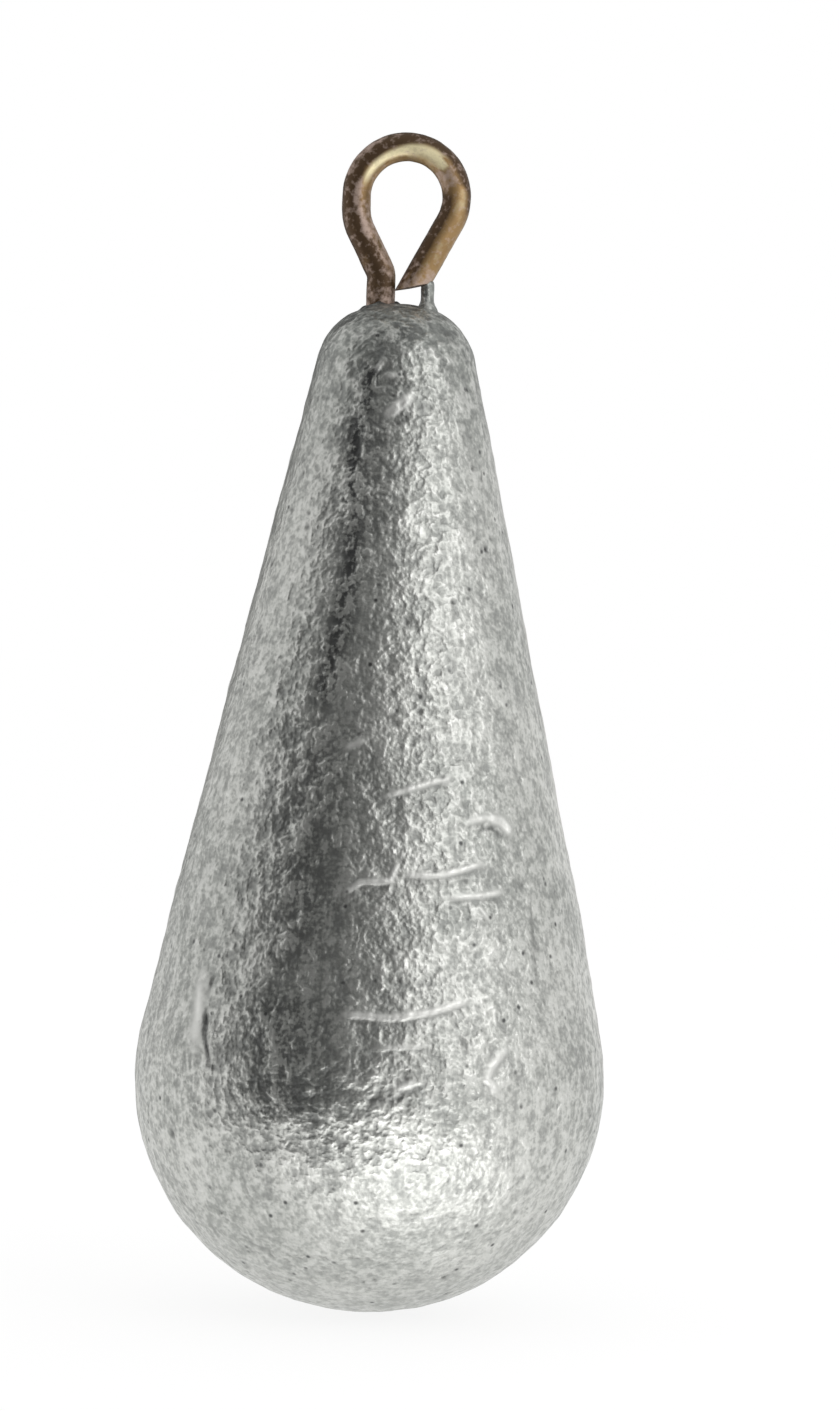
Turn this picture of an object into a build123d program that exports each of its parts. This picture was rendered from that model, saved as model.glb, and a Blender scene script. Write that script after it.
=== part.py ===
from build123d import *
import os
from math import asin, atan2, cos, degrees, hypot, radians, sin

# A pear-shaped fishing sinker: a lead casting poured round the hooked shank of a bent brass wire eye.
# Millimetres. +Z runs up the casting's axis and +Y through the eye. The origin is on that axis,
# level with the centre of the eye's loop, so the sinker hangs below it.

# Lead casting
body_length = 55.6  # bottom of the belly to the flat land at the top
belly_radius = 13.0  # round lower end
shoulder_radius = 4.0  # rounding from the tapered flank into the land
land_radius = 0.5  # flat left at the middle of the top

# Wire eye, as it shows above the lead
wire_diameter = 1.6
eye_inner_radius = 1.95  # clear inside of the loop's round part
eye_height = 5.85  # land up to the loop's centre
eye_offset = 0.24  # loop's centre, to one side of the casting's axis
eye_sag = 0.66  # how much lower the loop rounds on its shank side
leg_angle = 27.5  # slope of both legs from upright, in degrees
neck_bend_radius = 1.2  # centreline, from the long leg into the upright shank
neck_gap = 0.9  # land up to the nipped end of the short leg
neck_clearance = 0.05  # hairline between the nipped end and the shank

# Wire inside the lead
shank_depth = 20.0  # land down to the start of the hook
hook_radius = 2.0  # centreline of the half turn that keeps the eye from pulling out
hook_tail = 3.0  # straight end after the half turn

# Lead spur that ran up the mould's wire groove and set against the nipped end
spur_width = 0.7
spur_depth = 1.1
spur_overhang = 0.2  # beyond the outer edge of the nipped end
spur_lap = 0.15  # above the nipped end, against the wire's outer side
spur_root = 0.6  # sunk below the land, inside the casting
spur_flare = 0.2  # fillet where the spur leaves the shoulder

# Heights and centres worked out from those
slope = radians(leg_angle)
wire_radius = wire_diameter / 2
loop_radius = eye_inner_radius + wire_radius
land_z = -eye_height
nip_z = land_z + neck_gap
shoulder_z = land_z - shoulder_radius
belly_z = land_z - body_length + belly_radius

# The flank is the straight line that touches both the belly's circle and the shoulder's
flank_rise = shoulder_z - belly_z
flank_lean = asin((belly_radius - shoulder_radius) / hypot(flank_rise, land_radius))
flank_angle = degrees(flank_lean - atan2(land_radius, flank_rise))

# The short leg leaves the loop at a tangent, and the shank stands one hairline beside its nipped end
leg_top = Vector(eye_offset + loop_radius * cos(slope), 0, -loop_radius * sin(slope))
leg_direction = Vector(-sin(slope), 0, -cos(slope))
short_leg_run = (leg_top.Z - nip_z) / cos(slope)
nip_x = leg_top.X - short_leg_run * sin(slope)
nip_half_width = wire_radius / cos(slope)
shank_x = nip_x - nip_half_width - neck_clearance - wire_radius

# The long leg stops short of the shank by the sideways reach of the neck's bend
neck_reach = neck_bend_radius * (1 - cos(slope))
heel_x = eye_offset - loop_radius * cos(slope)
long_leg_run = (shank_x - neck_reach - heel_x) / sin(slope)

spur_x = nip_x + nip_half_width + spur_overhang - spur_width / 2

os.makedirs("parts", exist_ok=True)

# Wire eye: one length of round brass wire, nipped level at the short leg
with BuildPart() as wire_eye:
    with BuildSketch(Plane(leg_top, z_dir=leg_direction)):
        Circle(wire_radius)
    extrude(amount=short_leg_run + wire_diameter)
    split(bisect_by=Plane.XY.offset(nip_z), keep=Keep.TOP)
    with BuildLine(Plane.XZ) as bend_line:
        crown = CenterArc((eye_offset, 0), loop_radius, -leg_angle, 180 + leg_angle)
        side = Line(crown @ 1, crown @ 1 - (0, eye_sag))
        heel = JernArc(side @ 1, side % 1, loop_radius, leg_angle)
        long_leg = PolarLine(heel @ 1, long_leg_run, direction=heel % 1)
        neck = JernArc(long_leg @ 1, long_leg % 1, neck_bend_radius, -leg_angle)
        shank = Line(neck @ 1, (shank_x, land_z - shank_depth))
        hook = JernArc(shank @ 1, shank % 1, hook_radius, 180)
        Line(hook @ 1, hook @ 1 + (0, hook_tail))
    with BuildSketch(Plane(leg_top, z_dir=-leg_direction)):
        Circle(wire_radius)
    sweep(path=bend_line.wire())
wire_eye.part.label = "wire_eye"
export_step(wire_eye.part, "parts/wire_eye.step")

# Lead body: belly, flank and rounded shoulder turned in one piece, with the wire's own shape left inside
with BuildPart() as lead_body:
    with BuildSketch(Plane.YZ):
        with BuildLine():
            belly = CenterArc((0, belly_z), belly_radius, -90, 90 + flank_angle)
            shoulder = CenterArc((land_radius, shoulder_z), shoulder_radius, flank_angle, 90 - flank_angle)
            Line(belly @ 1, shoulder @ 0)
            Line(shoulder @ 1, (0, land_z))
            Line((0, land_z), belly @ 0)
        make_face()
    revolve(axis=Axis.Z)
    turned_edges = lead_body.edges()
    with BuildSketch(Plane.XY.offset(land_z - spur_root)):
        with Locations((spur_x, 0)):
            Ellipse(spur_width / 2, spur_depth / 2)
    extrude(amount=spur_root + neck_gap + spur_lap)
    spur_edges = lead_body.edges() - turned_edges
    fillet(spur_edges.filter_by(GeomType.BSPLINE), radius=spur_flare)
    add(wire_eye.part, mode=Mode.SUBTRACT)
lead_body.part.label = "lead_body"
export_step(lead_body.part, "parts/lead_body.step")
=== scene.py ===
"""Looks of a pear-shaped fishing sinker: a grey lead casting poured round a bent brass wire eye.

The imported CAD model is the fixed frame. Both of its pieces are modelled again here, in place, with the
relief of the real casting and the tool marks of the real wire, and dressed with procedural finishes.
"""

import logging
import math
from dataclasses import dataclass
from enum import Enum
from functools import partial
from typing import Callable, NamedTuple, Optional

import bmesh
import bpy
import numpy as np
from bpy.types import Material, Node, NodeSocket, NodeTree, Object, Texture
from mathutils import Matrix, Vector


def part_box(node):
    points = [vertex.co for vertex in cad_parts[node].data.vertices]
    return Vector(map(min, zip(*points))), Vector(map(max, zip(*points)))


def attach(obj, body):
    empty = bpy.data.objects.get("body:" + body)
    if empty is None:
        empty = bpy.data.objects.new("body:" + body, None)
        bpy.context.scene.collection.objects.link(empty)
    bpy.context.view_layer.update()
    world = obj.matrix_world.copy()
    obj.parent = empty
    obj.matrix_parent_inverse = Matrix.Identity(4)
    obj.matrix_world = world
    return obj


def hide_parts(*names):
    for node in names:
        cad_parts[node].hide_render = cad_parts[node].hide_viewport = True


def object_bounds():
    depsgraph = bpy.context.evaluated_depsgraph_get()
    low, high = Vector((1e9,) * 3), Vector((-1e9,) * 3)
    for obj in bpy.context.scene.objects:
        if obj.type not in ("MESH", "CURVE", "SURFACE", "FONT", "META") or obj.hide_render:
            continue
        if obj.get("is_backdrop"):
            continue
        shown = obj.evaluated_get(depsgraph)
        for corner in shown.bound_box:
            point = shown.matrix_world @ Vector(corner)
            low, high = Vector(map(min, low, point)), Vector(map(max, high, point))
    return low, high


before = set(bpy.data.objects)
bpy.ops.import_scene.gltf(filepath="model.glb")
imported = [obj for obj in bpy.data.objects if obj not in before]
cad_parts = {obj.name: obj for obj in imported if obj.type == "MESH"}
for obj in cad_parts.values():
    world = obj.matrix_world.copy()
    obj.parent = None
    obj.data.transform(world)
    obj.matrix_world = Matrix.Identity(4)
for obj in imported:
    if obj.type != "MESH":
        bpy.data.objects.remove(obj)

LOG = logging.getLogger("sinker")

MM = 0.001
BODY = "root"
WHITE = "#ffffff"

# Top of the lead, where the wire comes out of it
LAND_Z_MM = -5.85

# Vertices closer together than this are merged
MERGE_MM = 0.002

# A vertex this close to a plane, in metres, lies on it
ON_PLANE = 1e-7

# A mark lighter than this moves nothing
LEAST_WEIGHT = 0.004

# Where something starts, and where it is complete
Span = tuple[float, float]


class Slot(Enum):
    """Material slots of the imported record."""

    LEAD = "cast_lead"
    BRASS = "brass_wire"


class Relief(Enum):
    """Attributes of the casting: raised lines, pits and painted line shadow, thick oxide and the collar
    round the wire.
    """

    RIDGE = "flow_ridge"
    PIT = "pits_and_painted_shade"
    STAIN = "thick_oxide"
    COLLAR = "wire_collar"


class Wear(Enum):
    """Attributes of the wire: bare brass and painted highlight, scorch and painted shade, and smeared lead.
    """

    RUB = "rub_and_painted_highlight"
    SCORCH = "scorch_and_painted_shade"
    SMEAR = "lead_smear"


class Noise(NamedTuple):
    """A noise pattern: how wide its features are, then a Noise Texture's other sockets in their order."""

    width_mm: float
    detail: float
    roughness: float
    lacunarity: float = 2.0
    distortion: float = 0.0


class Ramp(NamedTuple):
    """A straight run between two values, in the order of a Map Range node's sockets."""

    start: float
    end: float
    at_start: float = 0.0
    at_end: float = 1.0


def hex_colour(code: str) -> tuple[float, float, float, float]:
    """Turns an sRGB hex colour into linear RGBA.

    Args:
        code: Six hex digits, with or without a leading hash.

    Returns:
        Linear red, green, blue and an alpha of 1.
    """
    digits = code.lstrip("#")
    channels = [int(digits[i:i + 2], 16) / 255 for i in (0, 2, 4)]
    linear = [c / 12.92 if c <= 0.04045 else ((c + 0.055) / 1.055) ** 2.4 for c in channels]
    return (*linear, 1.0)


def per_mm(size_mm: float) -> float:
    """Scale of a texture in metres whose features are that many millimetres wide."""
    return 1.0 / (size_mm * MM)


def add_node(
    tree: NodeTree, kind: str, *values: object, sockets: Optional[dict] = None, **settings: object
) -> Node:
    """Adds one shader node, sets its own properties and fills its sockets.

    Args:
        tree: Node tree that the node joins.
        kind: Blender's type name for the node, without ShaderNode in front.
        values: Fill the sockets that are in use, in their order. A colour is given in hex. An output is
            linked, and of a node the first output that is in use.
        sockets: Such values by the names of their sockets.
        settings: Properties of the node, such as operation or data_type.

    Returns:
        The new node.
    """
    node = tree.nodes.new("ShaderNode" + kind)
    for name, value in settings.items():
        setattr(node, name, value)
    in_use = [socket for socket in node.inputs if socket.enabled]
    named = [(node.inputs[name], value) for name, value in (sockets or {}).items()]
    for socket, value in [*zip(in_use, values), *named]:
        if isinstance(value, str):
            value = hex_colour(value)
        if isinstance(value, Node):
            value = next(output for output in value.outputs if output.enabled)
        if isinstance(value, NodeSocket):
            tree.links.new(value, socket)
        else:
            socket.default_value = value
    return node


def new_material(name: str) -> tuple[Material, Callable[..., Node]]:
    """Makes an empty node material.

    Args:
        name: Name of the real material.

    Returns:
        The material, and add_node for its cleared node tree.
    """
    material = bpy.data.materials.new(name)
    material.use_nodes = True
    material.node_tree.nodes.clear()
    return material, partial(add_node, material.node_tree)


def deselect_all() -> None:
    """Leaves edit mode and clears the selection, so that operators act on the next piece alone."""
    if bpy.context.object and bpy.context.object.mode != "OBJECT":
        bpy.ops.object.mode_set(mode="OBJECT")
    bpy.ops.object.select_all(action="DESELECT")


def name_piece(name: str) -> Object:
    """Names the primitive that was just added, and opens it in edit mode.

    Args:
        name: Name of the piece and of its mesh.

    Returns:
        The piece.
    """
    piece = bpy.context.object
    piece.name = name
    piece.data.name = name
    bpy.ops.object.mode_set(mode="EDIT")
    return piece


def select_where(piece: Object, mode: str, test: Callable[..., bool]) -> None:
    """Selects what a test picks in the open edit mesh, and nothing else.

    Args:
        piece: Object that is in edit mode.
        mode: VERT or EDGE.
        test: Takes a bmesh vertex or edge and returns True to select it.
    """
    bpy.ops.mesh.select_mode(type=mode)
    bpy.ops.mesh.select_all(action="DESELECT")
    shape = bmesh.from_edit_mesh(piece.data)
    for part in {"VERT": shape.verts, "EDGE": shape.edges}[mode]:
        if test(part):
            part.select_set(True)
    shape.select_flush_mode()
    bmesh.update_edit_mesh(piece.data)


def extrude_run(run: Vector, count: int) -> None:
    """Extrudes what is selected along a straight run, in equal steps.

    Args:
        run: The whole run, in metres.
        count: How many steps.
    """
    for _ in range(count):
        bpy.ops.mesh.extrude_region_move(TRANSFORM_OT_translate={"value": run / count})


def close_mesh() -> None:
    """Merges what meets in the open edit mesh, turns its faces outward and leaves edit mode."""
    bpy.ops.mesh.select_all(action="SELECT")
    bpy.ops.mesh.remove_doubles(threshold=MERGE_MM * MM)
    bpy.ops.mesh.normals_make_consistent(inside=False)
    bpy.ops.object.mode_set(mode="OBJECT")


def apply_displace(
    piece: Object,
    strength: float,
    middle: float,
    pattern: Optional[Texture] = None,
    group: str = "",
) -> None:
    """Pushes the surface along its normals and applies the result.

    Args:
        piece: Object in object mode.
        strength: Full height of the relief, in metres. A negative one sinks.
        middle: Value of the pattern that stays in place, from 0 to 1.
        pattern: Pattern of the relief, or None to push evenly.
        group: Vertex group that limits the push.
    """
    push = piece.modifiers.new("relief", "DISPLACE")
    push.strength = strength
    push.mid_level = middle
    push.vertex_group = group
    if pattern:
        push.texture = pattern
        push.texture_coords = "LOCAL"
    bpy.context.view_layer.objects.active = piece
    bpy.ops.object.modifier_apply(modifier=push.name)


def roughen(piece: Object, name: str, width_mm: float, height_mm: float, middle: float) -> None:
    """Lets the surface wander in a cloudy pattern.

    Args:
        piece: Object in object mode.
        name: Name of the pattern.
        width_mm: Width of its clouds.
        height_mm: Full height of the relief.
        middle: Value of the pattern that stays in place, from 0 to 1.
    """
    pattern = bpy.data.textures.new(name, "CLOUDS")
    pattern.noise_scale = width_mm * MM
    pattern.noise_depth = 2
    apply_displace(piece, height_mm * MM, middle, pattern)


def store_weights(piece: Object, name: str, weights: np.ndarray) -> None:
    """Keeps weights on the mesh as an attribute that the finish can read.

    Args:
        piece: Object in object mode.
        name: Name of the attribute.
        weights: One weight a vertex, from 0 to 1.
    """
    attribute = piece.data.attributes.new(name, "FLOAT", "POINT")
    attribute.data.foreach_set("value", weights.astype(np.float32))


def push_marks(piece: Object, name: str, weights: np.ndarray, height_mm: float) -> None:
    """Raises or sinks marks by their weights, and keeps the weights for the finish.

    Args:
        piece: Object in object mode.
        name: Name of the marks.
        weights: One weight a vertex, from 0 to 1.
        height_mm: How far a full weight moves the surface outward.
    """
    group = piece.vertex_groups.new(name=name)
    for index in np.nonzero(weights > LEAST_WEIGHT)[0]:
        group.add([int(index)], float(weights[index]), "REPLACE")
    apply_displace(piece, height_mm * MM, 0.0, group=name)
    piece.vertex_groups.clear()
    store_weights(piece, name, weights)


def fade(values: np.ndarray, low: float, high: float) -> np.ndarray:
    """Goes smoothly from 0 at the low value to 1 at the high one.

    Args:
        values: Values to look at.
        low: Value that gives 0.
        high: Value that gives 1.

    Returns:
        One weight a value.
    """
    share = np.clip((values - low) / (high - low), 0, 1)
    return share * share * (3 - 2 * share)


def hump(values: np.ndarray, middle: float, width: float) -> np.ndarray:
    """Smooth bump of height 1 round a middle value, down to about a third one width away."""
    return np.exp(-((values - middle) / width) ** 2)


def vertex_places(piece: Object) -> np.ndarray:
    """Reads the vertex positions of a mesh.

    Args:
        piece: Object in object mode.

    Returns:
        One row a vertex, in metres.
    """
    places = np.zeros(len(piece.data.vertices) * 3, np.float32)
    piece.data.vertices.foreach_get("co", places)
    return places.reshape(-1, 3).astype(float)


@dataclass(frozen=True)
class CastLeadFinish:
    """Cast lead, poured in a metal mould and left as it came out.

    Soft dull metal under a thin grey oxide. The eye sees broad, soft reflections broken up by the crinkled
    skin of the casting, bright on the rubbed peaks, and dark in the creases where the oxide stays. Fine
    scratches make the rubbed lines matt, so they are less metallic. Their pale tops are partly rubbed metal
    and partly a painted highlight, and the grooves under them carry a painted shadow.
    """

    pale: str = "#cfd0cb"
    oxide: str = "#b6b8b3"
    crown: str = "#9b9e99"
    pale_wear_and_highlight: str = "#ebebe7"
    crease: str = "#5c5e5f"
    soot_and_shade: str = "#3c3d3e"
    clouds: Noise = Noise(6.0, 4.0, 0.6)
    lumps: Noise = Noise(1.2, 2.0, 0.5, distortion=0.4)
    grain: Noise = Noise(0.4, 1.5, 0.5)
    grit: Noise = Noise(0.2, 2.0, 0.6)
    streaks: Noise = Noise(0.5, 3.0, 0.6)
    swirls: Noise = Noise(1.6, 2.0, 0.5, distortion=2.2)
    streak_length_mm: float = 4.5
    pore_gap_mm: float = 0.9
    lump_height_mm: float = 0.25
    grain_height_mm: float = 0.125
    grit_height_mm: float = 0.006
    speckle_middle: float = 0.5
    noise_span: Span = (0.2, 0.8)
    grit_reach: float = 0.13
    grain_reach: float = 0.27
    lump_reach: float = 0.22
    streak_reach: float = 0.23
    film: Ramp = Ramp(0.35, 0.65)
    crown_mm: Span = (-15.0, -7.0)
    crown_share: float = 0.8
    calm_mm: Span = (-61.0, -49.0)
    calm_share: float = 0.42
    calm_level: float = 0.51
    creasing: Ramp = Ramp(0.57, 0.24, 0.0, 0.42)
    peaking: Ramp = Ramp(0.47, 0.8, 0.0, 0.5)
    line_highlight_share: float = 0.95
    crusting: Ramp = Ramp(0.62, 0.4, 0.06, 1.0)
    eddying: Ramp = Ramp(0.53, 0.33, 0.0, 0.5)
    pore_edge: Ramp = Ramp(0.19, 0.07)
    pore_choice: Ramp = Ramp(0.45, 0.75, 0.0, 0.85)
    roughness: Ramp = Ramp(0.3, 0.7, 0.5, 0.32)
    line_smoothing: Ramp = Ramp(0.0, 0.4, 1.0, 0.36)
    metallic: Ramp = Ramp(0.25, 1.0, 0.88, 0.66)

    def material(self) -> Material:
        """Builds the node material.

        Returns:
            The material.
        """
        material, node = new_material("cast_lead_oxidised")
        place = node("TexCoord").outputs["Object"]
        height = node("SeparateXYZ", place).outputs["Z"]
        stretch = (1.0, 1.0, self.streaks.width_mm / self.streak_length_mm)
        drawn = node("Mapping", sockets={"Vector": place, "Scale": stretch})
        clouds, lumps, grain, grit, swirls, streaks = (
            node("TexNoise", vector, per_mm(noise.width_mm), *noise[1:])
            for vector, noise in (
                (place, self.clouds), (place, self.lumps), (place, self.grain),
                (place, self.grit), (place, self.swirls), (drawn, self.streaks)))
        cells = node("TexVoronoi", sockets={"Vector": place, "Scale": per_mm(self.pore_gap_mm)})
        ridge, pit_and_shade, stain = (
            node("Attribute", attribute_name=relief.value).outputs["Fac"]
            for relief in (Relief.RIDGE, Relief.PIT, Relief.STAIN))
        level = node("Math", 1.0, ridge, operation="SUBTRACT")

        # Thin oxide in clouds, and a duller crown
        film = node("MapRange", clouds, *self.film)
        metal = node("Mix", film, self.oxide, self.pale, data_type="RGBA")
        low, high = self.crown_mm
        top = node("MapRange", height, low * MM, high * MM, 0.0, self.crown_share)
        duller = node("Mix", top, metal, self.crown, data_type="RGBA")

        # Dark creases between the grains and bright metal on their rubbed peaks, calmer under the belly
        uneven = self.speckle_middle
        for noise, reach in (
            (grit, self.grit_reach), (grain, self.grain_reach),
            (lumps, self.lump_reach), (streaks, self.streak_reach),
        ):
            part = node("MapRange", noise, *self.noise_span, -reach, reach)
            uneven = node("Math", uneven, part, operation="ADD")
        low, high = self.calm_mm
        calm = node("MapRange", height, low * MM, high * MM, self.calm_share)
        speckle = node("Mix", calm, self.calm_level, uneven, data_type="FLOAT")
        dip = node("MapRange", speckle, *self.creasing)
        sunk = node("Math", dip, level, operation="MULTIPLY")
        creased = node("Mix", sunk, duller, self.crease, data_type="RGBA")
        peak = node("MapRange", speckle, *self.peaking)
        # Painted highlight: the raised lines are pale along their tops, partly rubbed metal and partly
        # caught light
        line_wear_and_highlight = node("Math", ridge, self.line_highlight_share, operation="MULTIPLY")
        worn_and_lit = node("Math", peak, line_wear_and_highlight, operation="MAXIMUM")
        rubbed_and_lit = node("Mix", worn_and_lit, creased, self.pale_wear_and_highlight, data_type="RGBA")

        # Soot in the thick oxide, pores, pits and eddies on the crown, and painted shadow in the grooves
        # under the lines
        crust = node("MapRange", speckle, *self.crusting)
        thick = node("Math", crust, stain, operation="MULTIPLY")
        eddy = node("MapRange", swirls, *self.eddying)
        spread = node("Math", eddy, top, operation="MULTIPLY")
        eddies = node("Math", spread, level, operation="MULTIPLY")
        pore = node("MapRange", cells.outputs["Distance"], *self.pore_edge)
        chosen = node("MapRange", cells.outputs["Color"], *self.pore_choice)
        pocked = node("Math", pore, chosen, operation="MULTIPLY")
        holes_and_shade = node("Math", pocked, pit_and_shade, operation="MAXIMUM")
        marks_and_shade = node("Math", thick, holes_and_shade, operation="MAXIMUM")
        grime_and_shade = node("Math", marks_and_shade, eddies, operation="MAXIMUM")
        sooty_and_shaded = node("Mix", grime_and_shade, rubbed_and_lit, self.soot_and_shade, data_type="RGBA")

        # Lumps, grain and grit in the skin, smoother and less metallic along the rubbed lines
        smooth = node("MapRange", ridge, *self.line_smoothing)
        bump = node("Bump", sockets={
            "Strength": smooth, "Distance": self.lump_height_mm * MM, "Height": lumps})
        bump = node("Bump", sockets={
            "Strength": smooth, "Distance": self.grain_height_mm * MM, "Height": grain, "Normal": bump})
        bump = node("Bump", sockets={
            "Strength": 1.0, "Distance": self.grit_height_mm * MM, "Height": grit, "Normal": bump})
        shader = node("BsdfPrincipled", sockets={
            "Base Color": sooty_and_shaded, "Metallic": node("MapRange", ridge, *self.metallic),
            "Roughness": node("MapRange", grain, *self.roughness), "Normal": bump})
        node("OutputMaterial", shader)
        return material


@dataclass(frozen=True)
class BrassWireFinish:
    """Drawn brass wire, bent cold and scorched by the pour.

    A brown patina covers it, darkest where the heat of the lead and old grease have burnt in, and bare pale
    metal shows where the line and the pliers have rubbed. The dark also holds painted shade on the loop's
    outer rim and on the right leg's inside and outer edge, and the bare band a painted highlight. The patina
    and the fine scratches of the rubbed metal are matt, so the finish is only half metallic. Fine flecks of
    lead break both up.
    """

    bare_and_highlight: str = "#fdf0c4"
    patina: str = "#987b52"
    scorch_and_shade: str = "#473422"
    fleck: str = "#b9a498"
    blotches: Noise = Noise(0.8, 4.0, 0.65)
    specks: Noise = Noise(0.36, 2.0, 0.6)
    speck_height_mm: float = 0.012
    rubbing_and_highlight: Ramp = Ramp(0.6, 1.3)
    burning_and_shading: Ramp = Ramp(0.45, 1.25, 0.0, 0.95)
    flecking: Ramp = Ramp(0.54, 0.82, 0.0, 0.75)
    roughness: Ramp = Ramp(0.0, 1.0, 0.36, 0.5)
    metallic: float = 0.6

    def material(self) -> Material:
        """Builds the node material.

        Returns:
            The material.
        """
        material, node = new_material("brass_wire_patinated")
        place = node("TexCoord").outputs["Object"]
        blotches, specks = (
            node("TexNoise", place, per_mm(noise.width_mm), *noise[1:])
            for noise in (self.blotches, self.specks))
        rub_and_highlight, burn_and_shade, smear = (
            node("Attribute", attribute_name=wear.value).outputs["Fac"]
            for wear in (Wear.RUB, Wear.SCORCH, Wear.SMEAR))
        # Bare brass where rubbed, and painted highlight along the band and on the right leg
        worn_and_lit = node("Math", blotches, rub_and_highlight, operation="ADD")
        rubbed_and_lit = node("MapRange", worn_and_lit, *self.rubbing_and_highlight)
        metal = node("Mix", rubbed_and_lit, self.patina, self.bare_and_highlight, data_type="RGBA")
        # Scorch, and painted shade on the loop's outer rim and the right leg's inside and outer edge
        heat_and_shade = node("Math", blotches, burn_and_shade, operation="ADD")
        burnt_and_shaded = node("MapRange", heat_and_shade, *self.burning_and_shading)
        dark = node("Mix", burnt_and_shaded, metal, self.scorch_and_shade, data_type="RGBA")
        chips = node("Math", specks, smear, operation="ADD")
        leaded = node("MapRange", chips, *self.flecking)
        colour = node("Mix", leaded, dark, self.fleck, data_type="RGBA")
        bump = node("Bump", sockets={
            "Strength": 1.0, "Distance": self.speck_height_mm * MM, "Height": specks})
        shader = node("BsdfPrincipled", sockets={
            "Base Color": colour, "Metallic": self.metallic,
            "Roughness": node("MapRange", burnt_and_shaded, *self.roughness), "Normal": bump})
        node("OutputMaterial", shader)
        return material


@dataclass(frozen=True)
class Mark:
    """A mark on the casting, as a string of points on its surface.

    Each point is a height above the lowest point of the belly, in millimetres, and an angle round the axis,
    in degrees, where 0 faces the front and positive is to the right. A lift over 1 gives it a flat top.
    """

    points: tuple[tuple[float, float], ...]
    width_mm: float
    lift: float = 1.0


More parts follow.
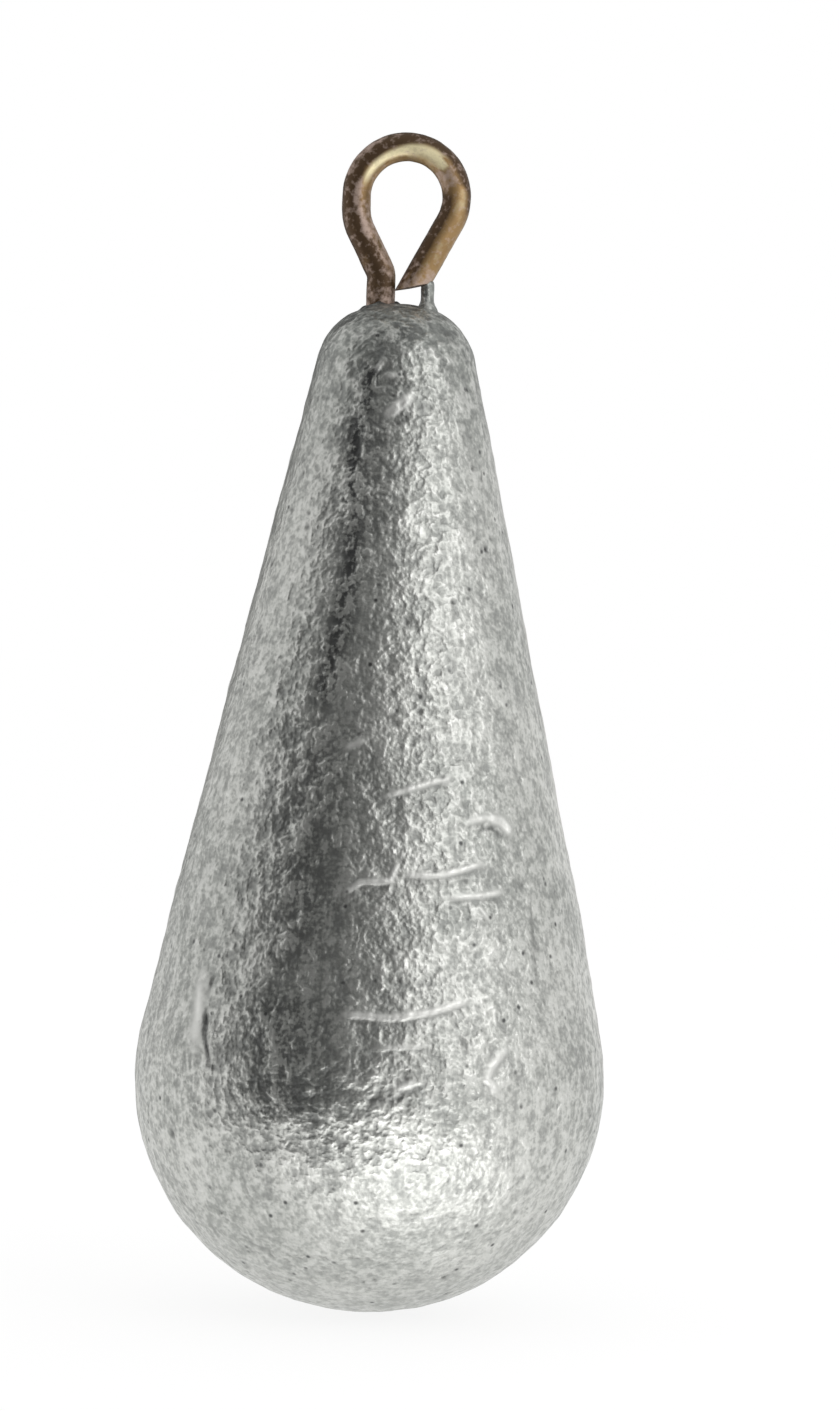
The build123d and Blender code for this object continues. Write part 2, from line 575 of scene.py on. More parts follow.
@dataclass
class LeadCasting:
    """The lead body: round belly, straight flank, rounded shoulder, and the spur beside the eye's neck."""

    belly_radius_mm: float = 13.0
    body_length_mm: float = 55.6
    shoulder_radius_mm: float = 4.0
    land_radius_mm: float = 0.5
    belly_rings: int = 84
    flank_rings: int = 136
    shoulder_rings: int = 38
    land_rings: int = 4
    turns: int = 232
    spur_x_mm: float = 1.58
    spur_width_mm: float = 0.7
    spur_depth_mm: float = 1.1
    spur_height_mm: float = 1.25
    spur_root_mm: float = 0.6
    spur_root_wide: float = 1.9
    spur_root_deep: float = 1.6
    spur_taper: tuple[float, ...] = (0.96, 0.88, 0.8, 0.84, 0.95, 1.0, 1.03, 1.0, 0.98, 0.9)
    spur_sides: int = 28
    # Name, width and height of each layer of relief, in millimetres
    swells: tuple[tuple[str, float, float], ...] = (
        ("swell", 9.0, 0.24), ("lump", 2.2, 0.12), ("coarse_grain", 0.9, 0.06))
    swell_middle: float = 0.62
    refine_spread: float = 1.8
    refine_over: float = 0.05
    refine_cuts: int = 2
    ridge_height_mm: float = 0.1
    line_start: Span = (-0.3, 0.35)
    line_end: Span = (1.3, 0.65)
    lip_shadow_mm: float = 0.26
    lip_shadow_share: float = 0.45
    shank_x_mm: float = -0.99
    shank_radius_mm: float = 0.8
    collar_height_mm: float = 0.3
    collar_mm: Span = (0.1, 0.5)
    collar_reach_mm: float = 1.5
    moat_width_mm: float = 0.34
    moat_reach_mm: float = 2.0
    pit_depth_mm: float = 0.1
    pit_count: int = 110
    pit_low_mm: float = 1.0
    pit_top_gap_mm: float = 3.0
    pit_radius_mm: Span = (0.09, 0.2)
    pit_share: Span = (0.5, 1.0)
    seed: int = 7
    flow_lines: tuple[Mark, ...] = (
        Mark(((23.8, -8.2), (24.4, -4.0), (24.5, 4.2), (25.3, 5.9)), 0.36),
        Mark(((24.8, 8.0), (24.9, 20.0), (25.5, 32.5)), 0.36),
        Mark(((23.7, 21.5), (23.8, 31.0), (24.0, 38.5)), 0.36),
        Mark(((17.5, -6.5), (17.4, 3.8), (17.7, 14.2), (18.3, 24.7)), 0.4, 1.1),
        Mark(((23.3, 30.0), (22.5, 33.4)), 0.3, 0.7),
        Mark(((27.7, 29.5), (27.9, 35.5), (27.85, 40.5)), 0.42, 1.1),
        Mark(((27.9, 36.5), (27.7, 41.5), (27.1, 44.8)), 0.58, 1.3),
        Mark(((31.3, -12.4), (31.9, -5.4)), 0.42),
        Mark(((49.3, -3.6), (49.8, 3.0), (50.3, 9.4)), 0.5, 2.0),
        Mark(((51.5, -14.3), (52.3, -8.2)), 0.28, 1.1),
        Mark(((51.4, -7.4), (51.5, 3.3)), 0.36, 0.7),
        Mark(((18.8, -49.0), (17.3, -48.5), (15.2, -46.6)), 1.0, 0.95),
        Mark(((18.9, -49.2), (18.7, -48.6)), 0.9, 1.5),
        Mark(((15.8, 1.1), (16.0, 14.2)), 0.3, 0.7),
        Mark(((15.8, 35.0), (14.9, 30.6), (14.3, 29.3), (13.5, 31.6)), 0.44, 1.2),
        Mark(((28.9, 1.7), (29.4, 10.2), (29.7, 16.4), (30.0, 23.7)), 0.36, 0.9),
        Mark(((13.8, 7.1), (14.1, 10.6)), 0.42),
        # On the back
        Mark(((21.0, 140.0), (21.4, 155.0), (22.3, 168.0)), 0.36),
        Mark(((33.5, -165.0), (33.9, -150.0)), 0.34, 0.8),
        Mark(((16.0, -152.0), (16.4, -139.0), (15.8, -126.0)), 0.36),
        Mark(((29.0, 120.0), (29.3, 133.0)), 0.3, 0.8),
        # Seam of the mould
        Mark(((1.2, 90.0), (13.0, 90.2), (24.0, 90.0)), 0.3, 0.4),
        Mark(((15.5, 90.2), (30.0, 89.6), (51.0, 90.3)), 0.34, 0.8),
        Mark(((1.2, -90.0), (13.0, -89.7), (24.0, -90.0)), 0.3, 0.4),
        Mark(((15.5, -89.8), (33.0, -90.4), (51.5, -90.0)), 0.34, 0.8),
    )
    # Sunk lines, darkened by the finish; several lie just under a raised line as its painted shadow
    creases: tuple[Mark, ...] = (
        Mark(((17.1, -45.1), (15.8, -44.0), (14.5, -41.2)), 0.34, 0.85),
        Mark(((19.0, -44.8), (18.1, -46.0)), 0.26, 0.7),
        Mark(((14.2, -42.6), (14.3, -38.5)), 0.22, 0.6),
        Mark(((40.6, -15.4), (41.2, -15.0)), 0.3, 0.9),
        Mark(((16.5, 22.8), (15.8, 24.0)), 0.34, 0.7),
        Mark(((54.3, -34.0), (54.9, -20.0)), 0.3, 0.45),
        Mark(((23.9, 50.7), (21.4, 49.2), (19.1, 48.1)), 0.3, 0.4),
        Mark(((23.7, 3.5), (23.5, 3.9)), 0.6, 0.4),
        Mark(((24.7, 26.6), (24.4, 26.6)), 0.5, 0.5),
        Mark(((14.5, 8.3), (14.2, 8.8)), 0.4, 0.6),
        Mark(((53.5, -18.6), (53.0, -9.0), (52.9, 2.8)), 0.45, 0.3),
        Mark(((51.0, -9.8), (50.9, 2.2), (51.0, 14.1)), 0.45, 0.3),
        Mark(((27.2, 32.5), (27.4, 37.4), (26.8, 42.5)), 0.26, 0.6),
        Mark(((13.2, -0.9), (13.1, 5.4), (13.4, 9.3)), 0.34, 0.5),
        Mark(((17.7, 20.1), (17.5, 20.3)), 0.4, 0.5),
        # Painted shadow under the crown's raised mark
        Mark(((48.8, 0.5), (49.0, 6.0), (49.5, 9.5)), 0.36, 0.6),
        # On the back
        Mark(((12.5, 165.0), (13.8, 167.5)), 0.3, 0.8),
        Mark(((40.0, -140.0), (38.6, -137.0)), 0.3, 0.7),
    )
    oxide_streaks: tuple[Mark, ...] = (
        Mark(((53.9, -8.0), (53.8, 18.0)), 1.9, 0.6),
        Mark(((52.0, -16.0), (51.0, -18.0), (48.0, -22.5), (42.5, -18.0)), 1.4, 0.9),
        Mark(((49.5, -20.0), (46.0, -18.5), (42.0, -16.0)), 3.4, 0.6),
        Mark(((47.0, -23.0), (41.4, -16.0), (38.0, -18.5), (33.3, -22.5)), 1.6, 0.85),
        Mark(((33.0, -24.0), (26.0, -23.0), (19.0, -21.0)), 5.5, 0.55),
        Mark(((19.0, -23.0), (14.0, -22.0), (11.5, -20.0)), 7.0, 0.6),
        Mark(((12.0, -22.0), (10.4, -2.0)), 2.4, 0.45),
    )

    def __post_init__(self) -> None:
        """Works out the straight flank that touches both the belly and the shoulder."""
        self.bottom_z = (LAND_Z_MM - self.body_length_mm) * MM
        self.belly_z = self.bottom_z + self.belly_radius_mm * MM
        self.shoulder_z = (LAND_Z_MM - self.shoulder_radius_mm) * MM
        rise = self.shoulder_z - self.belly_z
        land = self.land_radius_mm * MM
        fall = (self.belly_radius_mm - self.shoulder_radius_mm) * MM
        self.flank_angle = math.asin(fall / math.hypot(rise, land)) - math.atan2(land, rise)

    def radius_at(self, height: float) -> float:
        """Radius of the belly or flank at a height above the lowest point.

        Args:
            height: Height in millimetres.

        Returns:
            Radius in millimetres.
        """
        belly = self.belly_radius_mm
        if height > belly * (1 + math.sin(self.flank_angle)):
            return belly / math.cos(self.flank_angle) - (height - belly) * math.tan(self.flank_angle)
        return math.sqrt(max(belly ** 2 - (height - belly) ** 2, 0.0))

    def build(self, finish: CastLeadFinish) -> Object:
        """Models the casting and dresses it.

        Args:
            finish: The lead's finish.

        Returns:
            The finished piece.
        """
        piece = self._turn()
        for name, width_mm, height_mm in self.swells:
            roughen(piece, name, width_mm, height_mm, self.swell_middle)
        self._raise_spur(piece)
        self._marks(piece)
        bpy.ops.object.shade_smooth()
        piece.data.materials.append(finish.material())
        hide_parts("lead_body")
        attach(piece, BODY)
        return piece

    def _turn(self) -> Object:
        """Draws half the outline as a string of edges and spins it once round the axis.

        Returns:
            The plain casting, in object mode.
        """
        deselect_all()
        bpy.ops.mesh.primitive_plane_add(size=MM)
        piece = name_piece("cast_lead_body")
        bpy.ops.mesh.merge(type="CENTER")
        bpy.ops.transform.translate(value=(0, 0, self.bottom_z))
        bpy.ops.mesh.spin(
            steps=self.belly_rings, angle=math.pi / 2 + self.flank_angle,
            center=(0, 0, self.belly_z), axis=(0, 1, 0))
        shoulder = Vector((self.land_radius_mm * MM, 0, self.shoulder_z))
        belly_normal = Vector((math.cos(self.flank_angle), 0, math.sin(self.flank_angle)))
        flank = (shoulder + belly_normal * self.shoulder_radius_mm * MM
                 - Vector((0, 0, self.belly_z)) - belly_normal * self.belly_radius_mm * MM)
        extrude_run(flank, self.flank_rings)
        bpy.ops.mesh.spin(
            steps=self.shoulder_rings, angle=math.pi / 2 - self.flank_angle,
            center=shoulder, axis=(0, 1, 0))
        extrude_run(Vector((-self.land_radius_mm * MM, 0, 0)), self.land_rings)
        bpy.ops.mesh.select_all(action="SELECT")
        bpy.ops.mesh.spin(steps=self.turns, angle=2 * math.pi, center=(0, 0, 0), axis=(0, 0, 1))
        close_mesh()
        return piece

    def _raise_spur(self, piece: Object) -> None:
        """Adds the lead spur, where metal ran up into the mould's wire groove.

        Args:
            piece: The casting, which the spur joins.
        """
        deselect_all()
        bpy.ops.mesh.primitive_circle_add(
            vertices=self.spur_sides, radius=self.spur_width_mm / 2 * MM, fill_type="NGON")
        spur = name_piece("lead_spur")
        foot = Vector((self.spur_x_mm, 0, LAND_Z_MM - self.spur_root_mm)) * MM
        bpy.ops.transform.translate(value=foot)
        deep = self.spur_root_deep * self.spur_depth_mm / self.spur_width_mm
        bpy.ops.transform.resize(value=(self.spur_root_wide, deep, 1.0), center_override=foot)
        height = (self.spur_root_mm + self.spur_height_mm) * MM
        crest = foot + Vector((0, 0, height))
        for scale in self.spur_taper:
            extrude_run(Vector((0, 0, height / len(self.spur_taper))), 1)
            bpy.ops.transform.resize(value=(scale, scale, 1.0), center_override=crest)
        bpy.ops.mesh.select_all(action="SELECT")
        bpy.ops.mesh.normals_make_consistent(inside=False)
        deselect_all()
        spur.select_set(True)
        piece.select_set(True)
        bpy.context.view_layer.objects.active = piece
        bpy.ops.object.join()

    def _line_weights(self, places: np.ndarray, lines: tuple[Mark, ...], spread: float = 1.0) -> np.ndarray:
        """Weights of some marks, which taper off at both ends.

        Args:
            places: Vertex positions in millimetres.
            lines: The marks.
            spread: How many times wider than the marks to look.

        Returns:
            One weight a vertex, 1 on the middle of a full line.
        """
        heights = places[:, 2] - self.bottom_z / MM
        angles = np.degrees(np.arctan2(places[:, 0], -places[:, 1]))
        girth = np.radians(1.0) * np.hypot(places[:, 0], places[:, 1])
        weights = np.zeros(len(places))
        for line in lines:
            for start, end in zip(line.points, line.points[1:]):
                rise, turn = heights - start[0], (angles - start[1]) * girth
                span_rise, span_turn = end[0] - start[0], (end[1] - start[1]) * girth
                length = np.hypot(span_rise, span_turn)
                along = np.clip((rise * span_rise + turn * span_turn) / length ** 2, 0, 1)
                off = np.hypot(rise - along * span_rise, turn - along * span_turn)
                full = line.lift * hump(off, 0.0, spread * line.width_mm / 2)
                if start == line.points[0]:
                    full = full * fade(along, *self.line_start)
                if end == line.points[-1]:
                    full = full * fade(along, *self.line_end)
                weights = np.maximum(weights, full)
        return np.clip(weights, 0, 1)

    def _pit_weights(self, places: np.ndarray, spread: float = 1.0) -> np.ndarray:
        """Weights of the gas pits, scattered by the seed.

        Args:
            places: Vertex positions in millimetres.
            spread: How many times wider than the pits to look.

        Returns:
            One weight a vertex, up to 1 in the middle of a deep pit.
        """
        draw = np.random.default_rng(self.seed)
        weights = np.zeros(len(places))
        for _ in range(self.pit_count):
            height = draw.uniform(self.pit_low_mm, self.body_length_mm - self.pit_top_gap_mm)
            angle = math.radians(draw.uniform(-180, 180))
            wide, deep = draw.uniform(*self.pit_radius_mm), draw.uniform(*self.pit_share)
            radius = self.radius_at(height)
            spot = (radius * math.sin(angle), -radius * math.cos(angle), height + self.bottom_z / MM)
            off = np.linalg.norm(places - spot, axis=1)
            weights = np.maximum(weights, deep * hump(off, 0.0, spread * wide))
        return weights

    def _marks(self, piece: Object) -> None:
        """Raises the cold-shut lines and the collar, and sinks the creases and pits, on a finer mesh there.

        Args:
            piece: The casting, in object mode.
        """
        places = vertex_places(piece) / MM
        lines = self._line_weights(places, self.flow_lines + self.creases, self.refine_spread)
        near = lines + self._pit_weights(places, self.refine_spread) > self.refine_over
        bpy.ops.object.mode_set(mode="EDIT")
        select_where(piece, "VERT", lambda vertex: near[vertex.index])
        bpy.ops.mesh.subdivide(number_cuts=self.refine_cuts)
        bpy.ops.object.mode_set(mode="OBJECT")
        places = vertex_places(piece) / MM
        across, deep, height = places.T

        # The lines are broken up by two crossing waves
        frayed = 0.82 + 0.18 * np.sin(3.7 * across + 1.9 * height) * np.sin(5.3 * across - 0.8)
        ridges = self._line_weights(places, self.flow_lines) * frayed
        push_marks(piece, Relief.RIDGE.value, ridges, self.ridge_height_mm)

        # The collar climbs the wire in three broad lobes and seven small ones
        from_shank = np.hypot(across - self.shank_x_mm, deep) - self.shank_radius_mm
        bearing = np.arctan2(deep, across - self.shank_x_mm)
        uneven = 0.55 + 0.3 * np.sin(3 * bearing + 0.6) + 0.15 * np.sin(7 * bearing)
        climb = (1 - fade(from_shank, *self.collar_mm)) * (height > LAND_Z_MM - self.collar_reach_mm)
        push_marks(piece, Relief.COLLAR.value, climb * uneven, self.collar_height_mm)

        # A moat goes round the wire, and a groove with painted shadow lies under each line
        moat = hump(from_shank, 0.0, self.moat_width_mm) * (height > LAND_Z_MM - self.moat_reach_mm)
        below = self._line_weights(places + (0, 0, self.lip_shadow_mm), self.flow_lines)
        pits_and_shade = np.maximum.reduce([
            self._pit_weights(places), self._line_weights(places, self.creases), moat,
            self.lip_shadow_share * frayed * below * (1 - ridges)])
        push_marks(piece, Relief.PIT.value, pits_and_shade, -self.pit_depth_mm)
        store_weights(piece, Relief.STAIN.value, self._line_weights(places, self.oxide_streaks))


@dataclass
class WireEye:
    """The eye: brass wire with a nipped short leg, a loop, a long leg and a shank hooked into the lead."""

    wire_diameter_mm: float = 1.6
    inner_radius_mm: float = 1.95
    offset_mm: float = 0.24
    sag_mm: float = 0.66
    leg_angle_deg: float = 27.5
    neck_bend_mm: float = 1.2
    neck_gap_mm: float = 0.9
    neck_clearance_mm: float = 0.05
    nip_tilt_deg: float = 13.0
    nip_bevel_mm: float = 0.05
    nip_segments: int = 3
    shank_depth_mm: float = 20.0
    fine_depth_mm: float = 1.0
    hook_radius_mm: float = 2.0
    hook_tail_mm: float = 3.0
    sides: int = 32
    ring_mm: float = 0.16
    hidden_ring_mm: float = 1.0
    sag_steps: int = 4
    hook_steps: int = 16
    tail_steps: int = 3
    smooth_deg: float = 50.0
    draw_mark_mm: float = 0.7
    draw_height_mm: float = 0.05
    draw_middle: float = 0.7

    # Where it is worn. Degrees go round the loop from its right side over the top, and names that end in
    # wire go across the wire, from -1 on the loop's outside to 1 on its inside
    # The band is partly worn brass and partly a painted highlight, and the scorch spans also paint shade
    band_start_deg: Span = (36.0, 46.0)
    band_end_deg: Span = (140.0, 178.0)
    band_drift_deg: Span = (55.0, 125.0)
    right_end_deg: Span = (20.0, 40.0)
    tan_end_deg: Span = (6.0, 18.0)
    tan_foot_deg: Span = (-40.0, -20.0)
    rim_wire: Span = (-0.85, -0.5)
    tan_inner_wire: Span = (0.0, 0.45)
    outer_scorch_and_shade_wire: Span = (-0.7, -0.25)
    inner_scorch_and_shade_wire: Span = (0.05, 0.5)
    inner_scorch_and_shade_end_deg: Span = (-8.0, 18.0)
    edge_turn_deg: Span = (5.0, 18.0)
    edge_start_deg: Span = (-30.0, 0.0)
    left_start_deg: Span = (150.0, 200.0)
    nip_smear_mm: Span = (0.12, 0.32)
    nip_side_mm: Span = (-0.6, -0.4)
    fleck_start_deg: Span = (8.0, 22.0)
    fleck_end_deg: Span = (34.0, 42.0)
    fleck_wire: Span = (-0.5, 0.1)
    leg_smear_deg: Span = (165.0, 215.0)
    leg_smear_wire: Span = (-0.4, 0.5)
    scrape_start_deg: Span = (150.0, 175.0)
    scrape_end_deg: Span = (225.0, 245.0)
    scrape_wire: float = 0.08
    scrape_width: float = 0.28
    rim_start_deg: Span = (100.0, 120.0)
    rim_end_deg: Span = (155.0, 170.0)
    foot_smear_mm: float = 1.2

    def __post_init__(self) -> None:
        """Works out the bends from the driving sizes, in metres."""
        self.slope = math.radians(self.leg_angle_deg)
        self.tilt = math.radians(self.nip_tilt_deg)
        self.wire = self.wire_diameter_mm / 2 * MM
        self.loop = (self.inner_radius_mm + self.wire_diameter_mm / 2) * MM
        self.centre = Vector((self.offset_mm * MM, 0, 0))
        self.land_z = LAND_Z_MM * MM
        self.nip_z = self.land_z + self.neck_gap_mm * MM
        leg_top_x = self.centre.x + self.loop * math.cos(self.slope)
        leg_top_z = -self.loop * math.sin(self.slope)
        self.short_run = (leg_top_z - self.nip_z) / math.cos(self.slope)
        self.nip_x = leg_top_x - self.short_run * math.sin(self.slope)
        nip_half = self.wire / math.cos(self.slope)
        self.shank_x = self.nip_x - nip_half - self.neck_clearance_mm * MM - self.wire
        reach = self.neck_bend_mm * MM * (1 - math.cos(self.slope))
        heel_x = self.centre.x - self.loop * math.cos(self.slope)
        self.long_run = (self.shank_x - reach - heel_x) / math.sin(self.slope)

    def build(self, finish: BrassWireFinish) -> Object:
        """Bends the wire, marks it and dresses it.

        Args:
            finish: The brass wire's finish.

        Returns:
            The finished piece.
        """
        piece = self._bend_loop()
        self._bend_shank(piece)
        roughen(piece, "draw_marks", self.draw_mark_mm, self.draw_height_mm, self.draw_middle)
        self._wear(piece)
        bpy.ops.object.shade_smooth_by_angle(angle=math.radians(self.smooth_deg))
        piece.data.materials.append(finish.material())
        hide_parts("wire_eye")
        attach(piece, BODY)
        return piece

    def _steps(self, length: float, hidden: bool = False) -> int:
        """How many rings a stretch of wire gets."""
        return max(2, round(length / ((self.hidden_ring_mm if hidden else self.ring_mm) * MM)))

    def _bend_loop(self) -> Object:
        """Starts at the loop's left side, spins over its top and draws out the short leg, nipped at a slant.

        Returns:
            The wire so far, in edit mode.
        """
        deselect_all()
        bpy.ops.mesh.primitive_circle_add(vertices=self.sides, radius=self.wire)
        piece = name_piece("bent_wire_eye")
        bpy.ops.transform.translate(value=self.centre - Vector((self.loop, 0, 0)))
        turn = math.pi + self.slope
        bpy.ops.mesh.spin(
            steps=self._steps(self.loop * turn), angle=turn, center=self.centre, axis=(0, -1, 0))
        down = Vector((-math.sin(self.slope), 0, -math.cos(self.slope)))

        # One long last step leaves plain walls on both sides of the cut
        cut_room = 2 * self.wire
        plain = self.short_run - cut_room
        extrude_run(down * plain, self._steps(plain))
        extrude_run(down * 2 * cut_room, 1)
        bpy.ops.mesh.select_all(action="SELECT")
        nip = Vector((self.nip_x, 0, self.nip_z))
        below = Vector((math.sin(self.tilt), 0, -math.cos(self.tilt)))
        bpy.ops.mesh.bisect(plane_co=nip, plane_no=below, use_fill=True, clear_outer=True)
        select_where(
            piece, "EDGE", lambda edge: all(abs((v.co - nip).dot(below)) < ON_PLANE for v in edge.verts))
        bpy.ops.mesh.bevel(offset=self.nip_bevel_mm * MM, segments=self.nip_segments)
        return piece

    def _bend_shank(self, piece: Object) -> None:
        """Goes on from the loop's left side: sag, heel, long leg, neck, shank, hook and tail.

        Args:
            piece: The wire so far, in edit mode. It is left in object mode.
        """
        def on_first_ring(edge: bmesh.types.BMEdge) -> bool:
            """True for the open edges of the ring that the loop started from."""
            return edge.is_boundary and all(abs(v.co.z) < ON_PLANE and v.co.x < 0 for v in edge.verts)

        select_where(piece, "EDGE", on_first_ring)
        sag = Vector((0, 0, -self.sag_mm * MM))
        extrude_run(sag, self.sag_steps)
        heel_centre = self.centre + sag
        bpy.ops.mesh.spin(
            steps=self._steps(self.loop * self.slope), angle=self.slope, center=heel_centre, axis=(0, 1, 0))
        inward = Vector((math.sin(self.slope), 0, -math.cos(self.slope)))
        extrude_run(inward * self.long_run, self._steps(self.long_run))
        bend = self.neck_bend_mm * MM
        outward = Vector((-math.cos(self.slope), 0, -math.sin(self.slope)))
        neck_centre = heel_centre + self.loop * outward + inward * self.long_run + bend * outward
        bpy.ops.mesh.spin(
            steps=self._steps(bend * self.slope), angle=self.slope, center=neck_centre, axis=(0, -1, 0))
        visible = neck_centre.z - self.land_z + self.fine_depth_mm * MM
        extrude_run(Vector((0, 0, -visible)), self._steps(visible))
        hook_z = self.land_z - self.shank_depth_mm * MM
        buried = neck_centre.z - visible - hook_z
        extrude_run(Vector((0, 0, -buried)), self._steps(buried, hidden=True))
        hook_centre = (self.shank_x + self.hook_radius_mm * MM, 0, hook_z)
        bpy.ops.mesh.spin(steps=self.hook_steps, angle=math.pi, center=hook_centre, axis=(0, 1, 0))
        extrude_run(Vector((0, 0, self.hook_tail_mm * MM)), self.tail_steps)
        bpy.ops.mesh.edge_face_add()
        close_mesh()

    def _wear(self, piece: Object) -> None:
        """Says where the wire is bare with painted highlight, scorched with painted shade, and smeared with
        lead.

        Args:
            piece: The bent wire, in object mode.
        """
        places = vertex_places(piece)
        across, height = places[:, 0] - self.centre.x, places[:, 2]
        around = np.degrees(np.arctan2(height, across))
        around = np.where(around < -90, around + 360, around)
        lean = across * math.cos(self.slope) * np.sign(across) - height * math.sin(self.slope)
        on_leg = (around < -self.leg_angle_deg) | (around > 180 + self.leg_angle_deg)
        reach = np.where(on_leg, lean, np.hypot(across, height))
        inward = (self.loop - reach) / self.wire
        ragged = around + 5 * np.sin(6 * inward) + 3 * np.sin(14 * inward + 1)
        right = 1 - fade(around, *self.right_end_deg)
        left = fade(around, *self.left_start_deg)

        # Bare band over the top, drifting inward and narrowing left, and tan right leg: wear and painted
        # highlight
        drift = fade(around, *self.band_drift_deg)
        band_middle = 0.12 + 0.3 * drift
        band = hump(inward, band_middle, 0.54 - 0.28 * drift)
        crown = fade(ragged, *self.band_start_deg) * (1 - 0.9 * fade(around, *self.band_end_deg))
        middle = fade(inward, *self.rim_wire) * (1 - fade(inward, *self.tan_inner_wire))
        paler = 0.08 + 0.1 * fade(around, *self.tan_foot_deg)
        tan = (1 - fade(around, *self.tan_end_deg)) * middle * paler
        store_weights(piece, Wear.RUB.value, 0.95 * crown * band + tan)

        # Scorch with painted shade outside the band, in the right leg and on its outer edge; scorch on the
        # left leg
        outer = (1 - right) * (1 - fade(inward - band_middle - 0.17 * drift, *self.outer_scorch_and_shade_wire))
        thinner = 1 - 0.8 * fade(around, *self.inner_scorch_and_shade_end_deg)
        inner = thinner * right * fade(inward, *self.inner_scorch_and_shade_wire)
        turning = fade(around, *self.edge_turn_deg)
        flank = (inward + 0.9 - 0.2 * turning) / (0.3 + 0.5 * turning)
        edge = right * (1 - fade(flank, 0, 1)) * fade(around, *self.edge_start_deg)
        scorch_and_shade = 0.9 * outer * (1 - 0.55 * left) + inner + 0.9 * edge + 0.4 * left
        store_weights(piece, Wear.SCORCH.value, np.clip(scorch_and_shade, 0, 1))

        # Lead at the nip, before the band, on the left leg and its scrape, on the rim and at the foot
        above_nip = ((height - self.nip_z) * math.cos(self.tilt)
                     - (places[:, 0] - self.nip_x) * math.sin(self.tilt))
        at_nip = (1 - fade(above_nip / MM, *self.nip_smear_mm)) * fade(across / MM, *self.nip_side_mm)
        flecks = fade(around, *self.fleck_start_deg) * (1 - fade(ragged, *self.fleck_end_deg))
        before_band = flecks * fade(inward, *self.fleck_wire)
        left_leg = fade(around, *self.leg_smear_deg) * fade(inward, *self.leg_smear_wire)
        scraped = fade(around, *self.scrape_start_deg) * (1 - fade(around, *self.scrape_end_deg))
        scrape = hump(inward, self.scrape_wire, self.scrape_width) * scraped
        rimmed = fade(around, *self.rim_start_deg) * (1 - fade(around, *self.rim_end_deg))
        rim = (1 - fade(inward, *self.rim_wire)) * rimmed
        foot = (1 - fade(height / MM, LAND_Z_MM, LAND_Z_MM + self.foot_smear_mm)) * (across < 0)
        store_weights(piece, Wear.SMEAR.value, np.maximum.reduce([
            0.28 * at_nip, 0.24 * before_band, 0.2 * left_leg, 0.36 * scrape, 0.24 * rim, 0.2 * foot]))


@dataclass(frozen=True)
class PhotoView:
    """Where the camera stood. Pixels are those of the photograph, 839 across and 1411 down."""

    width_px: int = 839
    height_px: int = 1411
    eye_px: tuple[float, float] = (406.7, 197.0)
    belly_px: float = 473.0
    lean_deg: float = 2.14
    elevation_deg: float = 1.5
    lens_mm: float = 120.0
    sensor_mm: float = 36.0
    near_share: float = 0.05

    def place_camera(self, casting: LeadCasting, eye: WireEye) -> None:
        """Adds the camera, so that the eye and the belly fall on their pixels.

        Args:
            casting: Gives the belly's real width.
            eye: Gives the loop's centre.
        """
        metres_per_px = 2 * casting.belly_radius_mm * MM / self.belly_px
        lean, tilt = math.radians(self.lean_deg), math.radians(self.elevation_deg)
        level_up = Vector((0, math.sin(tilt), math.cos(tilt)))
        right = Vector((1, 0, 0)) * math.cos(lean) + level_up * math.sin(lean)
        up = level_up * math.cos(lean) - Vector((1, 0, 0)) * math.sin(lean)
        back = right.cross(up)
        across = self.width_px / 2 - self.eye_px[0]
        down = self.height_px / 2 - self.eye_px[1]
        target = eye.centre + (right * across - up * down) * metres_per_px
        distance = self.height_px * metres_per_px * self.lens_mm / self.sensor_mm
        data = bpy.data.cameras.new("photo_camera")
        data.lens = self.lens_mm
        data.sensor_width = self.sensor_mm
        data.clip_start = distance * self.near_share
        camera = bpy.data.objects.new("photo_camera", data)
        camera.matrix_world = Matrix.Translation(target + back * distance) @ Matrix(
            (right, up, back)).transposed().to_4x4()
        bpy.context.scene.collection.objects.link(camera)
        bpy.context.scene.camera = camera


@dataclass(frozen=True)
class SoftBox:
    """One soft lamp that faces the sinker."""

    name: str
    azimuth_deg: float
    elevation_deg: float
    width_mm: float
    height_mm: float
    radiance: float
    distance_mm: float = 220.0

    def add(self, target: Vector) -> None:
        """Adds the lamp.

        Args:
            target: Point that it faces, in metres.
        """
        data = bpy.data.lights.new(self.name, "AREA")
        data.shape = "RECTANGLE"
        data.size = self.width_mm * MM
        data.size_y = self.height_mm * MM
        data.energy = self.radiance * math.pi * data.size * data.size_y
        lamp = bpy.data.objects.new(self.name, data)
        turn, rise = math.radians(self.azimuth_deg), math.radians(self.elevation_deg)
        out = Vector((math.sin(turn) * math.cos(rise), -math.cos(turn) * math.cos(rise), math.sin(rise)))
        lamp.location = target + out * self.distance_mm * MM
        lamp.rotation_mode = "QUATERNION"
        lamp.rotation_quaternion = (-out).to_track_quat("-Z", "Y")
        lamp.visible_camera = False
        bpy.context.scene.collection.objects.link(lamp)


@dataclass(frozen=True)
class DarkPatch:
    """One strip of a dark card: its two ends, how far it then fades out, its two heights and its grey."""

    left_mm: float
    right_mm: float
    fade_mm: float
    low_mm: float
    high_mm: float
    colour: str


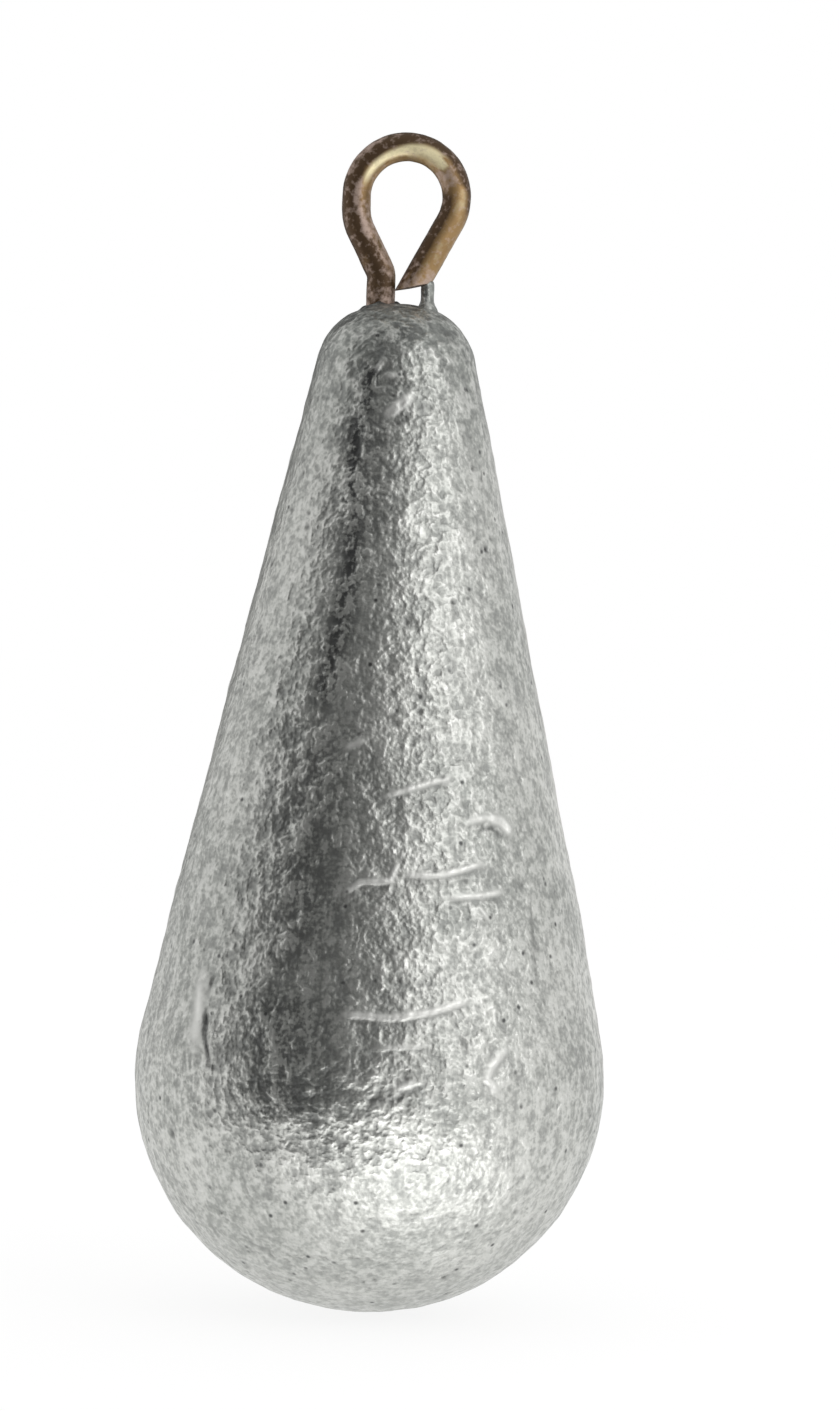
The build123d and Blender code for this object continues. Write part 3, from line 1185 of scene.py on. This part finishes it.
@dataclass(frozen=True)
class Studio:
    """White room, pale floor and soft lamps, with dark cards round the sinker for the metal to reflect.

    The camera and the shadows don't see the cards. The front one gives the lead its dark band, wide on the
    belly and narrow on the flank. The one behind is the same card mirrored, and does that for the back.
    """

    floor_size_mm: float = 4000.0
    floor_glow: float = 0.86
    floor_shine: float = 0.95
    pool_shine: float = 1.95
    pool_x_mm: float = 9.5
    pool_y_mm: float = -29.0
    pool_radius_mm: float = 25.0
    wall_shine: float = 0.72
    ceiling_shine: float = 0.62
    ceiling_rise: Span = (0.5, 0.95)
    lamps: tuple[SoftBox, ...] = (
        SoftBox("right_softbox", 48.5, 24, 128, 170, 1.22),
        SoftBox("left_softbox", -108, 24, 150, 190, 0.04),
        SoftBox("side_softbox", 92, 6, 200, 240, 0.1),
        SoftBox("back_softbox", 150, 20, 110, 170, 0.55),
    )
    # Where each card stands, and which way it fades
    cards: tuple[tuple[float, int], ...] = ((-24.0, 1), (-170.0, -1))
    card_distance_mm: float = 27.0
    card: tuple[DarkPatch, ...] = (
        DarkPatch(-16.5, 15.2, 12.5, -55.8, -38, "#565656"),
        DarkPatch(-18, 12, 21, -38, -26, "#454545"),
        DarkPatch(-20, 7.5, 28, -26, -6, "#383838"),
        DarkPatch(-16.5, 8.5, 28, -6, 30, "#4a4a4a"),
    )

    def build(self, floor_z: float, target: Vector) -> None:
        """Builds the room round the sinker.

        Args:
            floor_z: Height of the floor, in metres.
            target: Middle of the sinker, which the lamps face.
        """
        bpy.context.scene.view_settings.view_transform = "Standard"
        self._room()
        self._floor(floor_z)
        for azimuth_deg, way in self.cards:
            self._card(azimuth_deg, way)
        for lamp in self.lamps:
            lamp.add(target)

    def _room(self) -> None:
        """White walls for the eye, and for the metal a dimmer room with a grey ceiling."""
        world = bpy.data.worlds.new("white_room")
        bpy.context.scene.world = world
        world.use_nodes = True
        world.node_tree.nodes.clear()
        node = partial(add_node, world.node_tree)
        way = node("TexCoord").outputs["Generated"]
        rise = node("SeparateXYZ", way).outputs["Z"]
        shine = node("MapRange", rise, *self.ceiling_rise, self.wall_shine, self.ceiling_shine)
        white = node("Background", WHITE, 1.0)
        mirrored = node("Background", WHITE, shine)
        mixed = node("MixShader", node("LightPath").outputs["Is Glossy Ray"], white, mirrored)
        node("OutputWorld", mixed)

    def _floor(self, floor_z: float) -> None:
        """Lays a matt white floor that keeps a soft shadow, with a pool of light that the belly reflects.

        Args:
            floor_z: Height of the floor, in metres.
        """
        deselect_all()
        bpy.ops.mesh.primitive_plane_add(size=self.floor_size_mm * MM, location=(0, 0, floor_z))
        floor = bpy.context.object
        floor.name = "studio_floor"
        material, node = new_material("matt_white_floor")
        path = node("LightPath")
        matt = node("BsdfDiffuse", WHITE)
        glow = node("Emission", WHITE, 1.0)
        share = node("Math", path.outputs["Is Camera Ray"], self.floor_glow, operation="MULTIPLY")
        plain = node("MixShader", share, matt, glow)
        place = node("TexCoord").outputs["Object"]
        pool_middle = (self.pool_x_mm * MM, self.pool_y_mm * MM, 0)
        off = node("VectorMath", place, pool_middle, operation="DISTANCE")
        pool = node(
            "MapRange", off, 0.0, self.pool_radius_mm * MM, self.floor_shine + self.pool_shine,
            self.floor_shine, interpolation_type="SMOOTHSTEP")
        shine = node("Emission", WHITE, pool)
        mixed = node("MixShader", path.outputs["Is Glossy Ray"], plain, shine)
        node("OutputMaterial", mixed)
        floor.data.materials.append(material)
        floor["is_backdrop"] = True

    def _card(self, azimuth_deg: float, way: int) -> None:
        """Stands one dark card beside the sinker, patch by patch.

        Args:
            azimuth_deg: Where it stands, from the front towards the right.
            way: 1 if it fades towards larger angles, -1 if towards smaller ones.
        """
        turn = math.radians(azimuth_deg)
        out = Vector((math.sin(turn), -math.cos(turn), 0))
        along = Vector((math.cos(turn), math.sin(turn), 0)) * way
        facing = Matrix((along, Vector((0, 0, 1)), out * way)).transposed().to_quaternion()
        for number, patch in enumerate(self.card):
            width = patch.right_mm + patch.fade_mm - patch.left_mm
            name = f"dark_card_{azimuth_deg:.0f}_{number}"
            material, node = new_material(name)
            along_card = node("SeparateXYZ", node("TexCoord").outputs["Object"]).outputs["X"]
            # A plane of size 1 goes from -0.5 to 0.5 in its own coordinates
            share = node("MapRange", along_card, 0.5 - patch.fade_mm / width, 0.5)
            grey = node("Mix", share, patch.colour, WHITE, data_type="RGBA")
            node("OutputMaterial", node("Emission", grey, 1.0))
            deselect_all()
            middle = out * self.card_distance_mm + along * (patch.left_mm + width / 2)
            middle.z = (patch.low_mm + patch.high_mm) / 2
            bpy.ops.mesh.primitive_plane_add(size=1.0, location=middle * MM)
            card = bpy.context.object
            card.name = name
            card.rotation_mode = "QUATERNION"
            card.rotation_quaternion = facing
            card.scale = (width * MM, (patch.high_mm - patch.low_mm) * MM, 1.0)
            card.visible_camera = False
            card.visible_shadow = False
            card.visible_diffuse = False
            card.data.materials.append(material)
            card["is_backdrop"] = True


def main() -> None:
    logging.basicConfig(level=logging.INFO, format="%(name)s: %(message)s")
    cad_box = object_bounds()
    low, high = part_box("lead_body")
    casting = LeadCasting(belly_radius_mm=round((high.x - low.x) / 2 / MM, 2))
    eye = WireEye()
    PhotoView().place_camera(casting, eye)
    body = casting.build(CastLeadFinish())
    LOG.info("%s: %d faces", body.name, len(body.data.polygons))
    loop = eye.build(BrassWireFinish())
    LOG.info("%s: %d faces", loop.name, len(loop.data.polygons))
    Studio().build(low.z, Vector((0, 0, (cad_box[0].z + cad_box[1].z) / 2)))


if __name__ == "__main__":
    main()
